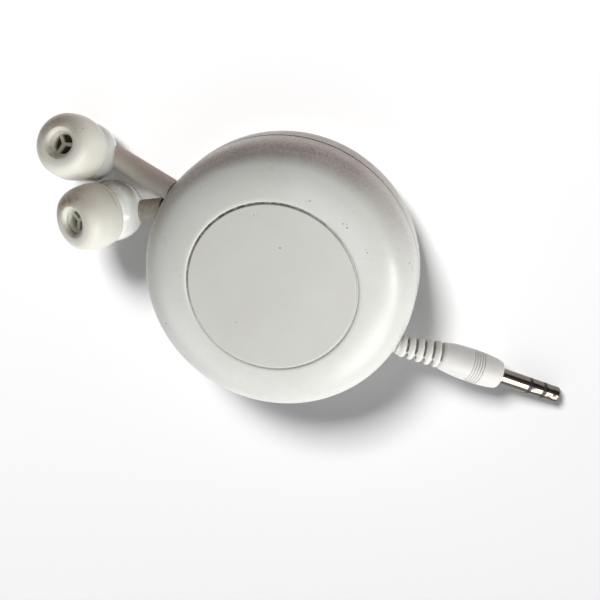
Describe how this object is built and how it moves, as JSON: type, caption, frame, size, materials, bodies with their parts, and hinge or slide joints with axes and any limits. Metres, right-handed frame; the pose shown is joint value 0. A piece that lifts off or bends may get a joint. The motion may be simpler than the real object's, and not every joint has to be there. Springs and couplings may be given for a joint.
{
  "type": "retractable wired earphones",
  "caption": "Wired earphones with a round spring-wound cord case, in-ear buds with silicone tips on stubby stems, and a jack plug with a slotted strain relief.",
  "frame": {"origin": "centre of the case's flat back face", "axes": "+Z out of the case's front disc, +X towards the exit of the buds, -X towards the exit of the plug"},
  "size_m": [0.1221, 0.056, 0.024],
  "materials": {
    "case_plastic": "off-white, smooth, satin gloss",
    "disc_plastic": "off-white, smooth",
    "reel_plastic": "moulded, matt",
    "spring_steel": "blued spring steel",
    "screw_steel": "zinc plated",
    "cord_sheath": "soft off-white sheath",
    "stem_rubber": "soft, greyish white",
    "bud_plastic": "white, glossy",
    "silicone": "cream white, satin, slightly translucent",
    "mesh_steel": "fine woven mesh",
    "driver_plastic": "black moulded",
    "yoke_steel": "plated steel",
    "magnet_nickel": "nickel plated",
    "coil_copper": "enamelled copper wire",
    "diaphragm_film": "thin formed film",
    "plug_plastic": "white, satin",
    "contact_metal": "nickel plated, lightly handled",
    "insulator_plastic": "dark nylon"
  },
  "bodies": {
    "case": {"front_shell": "case_plastic", "rear_shell": "case_plastic", "front_disc": "disc_plastic", "centre_screw": "screw_steel", "bud_cord_guide": "reel_plastic", "plug_cord_guide": "reel_plastic", "left_cord_lead": "cord_sheath", "right_cord_lead": "cord_sheath", "plug_cord_lead": "cord_sheath"},
    "reel": {"reel_drum": "reel_plastic", "reel_divider": "reel_plastic", "reel_upper_flange": "reel_plastic", "spring_cover": "reel_plastic", "power_spring": "spring_steel", "cord_crossover": "cord_sheath", "left_cord_winding": "cord_sheath", "right_cord_winding": "cord_sheath", "plug_cord_winding": "cord_sheath"},
    "plug": {"plug_grip": "plug_plastic", "plug_inner_mould": "plug_plastic", "plug_sleeve": "contact_metal", "plug_ring_contact": "contact_metal", "plug_tip_contact": "contact_metal", "plug_insulators": "insulator_plastic", "plug_cord_end": "cord_sheath"},
    "left_bud": {"left_front_housing": "bud_plastic", "left_rear_housing": "bud_plastic", "left_acoustic_mesh": "mesh_steel", "left_driver_frame": "driver_plastic", "left_driver_yoke": "yoke_steel", "left_driver_magnet": "magnet_nickel", "left_voice_coil": "coil_copper", "left_diaphragm": "diaphragm_film", "left_stem": "stem_rubber", "left_cord_end": "cord_sheath"},
    "right_bud": {"right_front_housing": "bud_plastic", "right_rear_housing": "bud_plastic", "right_acoustic_mesh": "mesh_steel", "right_driver_frame": "driver_plastic", "right_driver_yoke": "yoke_steel", "right_driver_magnet": "magnet_nickel", "right_voice_coil": "coil_copper", "right_diaphragm": "diaphragm_film", "right_stem": "stem_rubber", "right_cord_end": "cord_sheath"},
    "left_tip": {"left_ear_tip": "silicone"},
    "right_tip": {"right_ear_tip": "silicone"},
    "lock_ball": {"lock_ball": "screw_steel"}
  },
  "joints": [
    {"name": "drum_spin", "type": "hinge", "parent": "case", "child": "reel", "pos_m": [0, 0, 0.012], "axis": [0, 0, 1], "range_deg": [0, 1980], "stiffness_Nm_per_rad": 0.00032, "springref_deg": -1604.28, "deforming": ["power_spring", "left_cord_winding", "right_cord_winding", "plug_cord_winding"]},
    {"name": "plug_slide", "type": "slide", "parent": "case", "child": "plug", "axis": [-0.9781, -0.2079, 0], "range_m": [0, 0.5076], "deforming": ["plug_cord_lead"]},
    {"name": "left_bud_slide", "type": "slide", "parent": "case", "child": "left_bud", "axis": [0.9944, 0.1055, 0], "range_m": [0, 0.4869], "deforming": ["left_cord_lead"]},
    {"name": "right_bud_slide", "type": "slide", "parent": "case", "child": "right_bud", "axis": [0.7742, 0.6329, 0], "range_m": [0, 0.4869], "deforming": ["right_cord_lead"]},
    {"name": "left_tip_pull", "type": "slide", "parent": "left_bud", "child": "left_tip", "axis": [0.2996, -0.2774, 0.9128], "range_m": [0, 0.01]},
    {"name": "right_tip_pull", "type": "slide", "parent": "right_bud", "child": "right_tip", "axis": [0.4153, 0.219, 0.8829], "range_m": [0, 0.01]},
    {"name": "ball_slide", "type": "slide", "parent": "case", "child": "lock_ball", "axis": [0, 1, 0], "range_m": [0, 0.002]}
  ],
  "couplings": [
    {"joint": "plug_slide", "follows": "drum_spin", "m_per_rad": 0.014674},
    {"joint": "left_bud_slide", "follows": "drum_spin", "m_per_rad": 0.014075},
    {"joint": "right_bud_slide", "follows": "drum_spin", "m_per_rad": 0.014075}
  ]
}
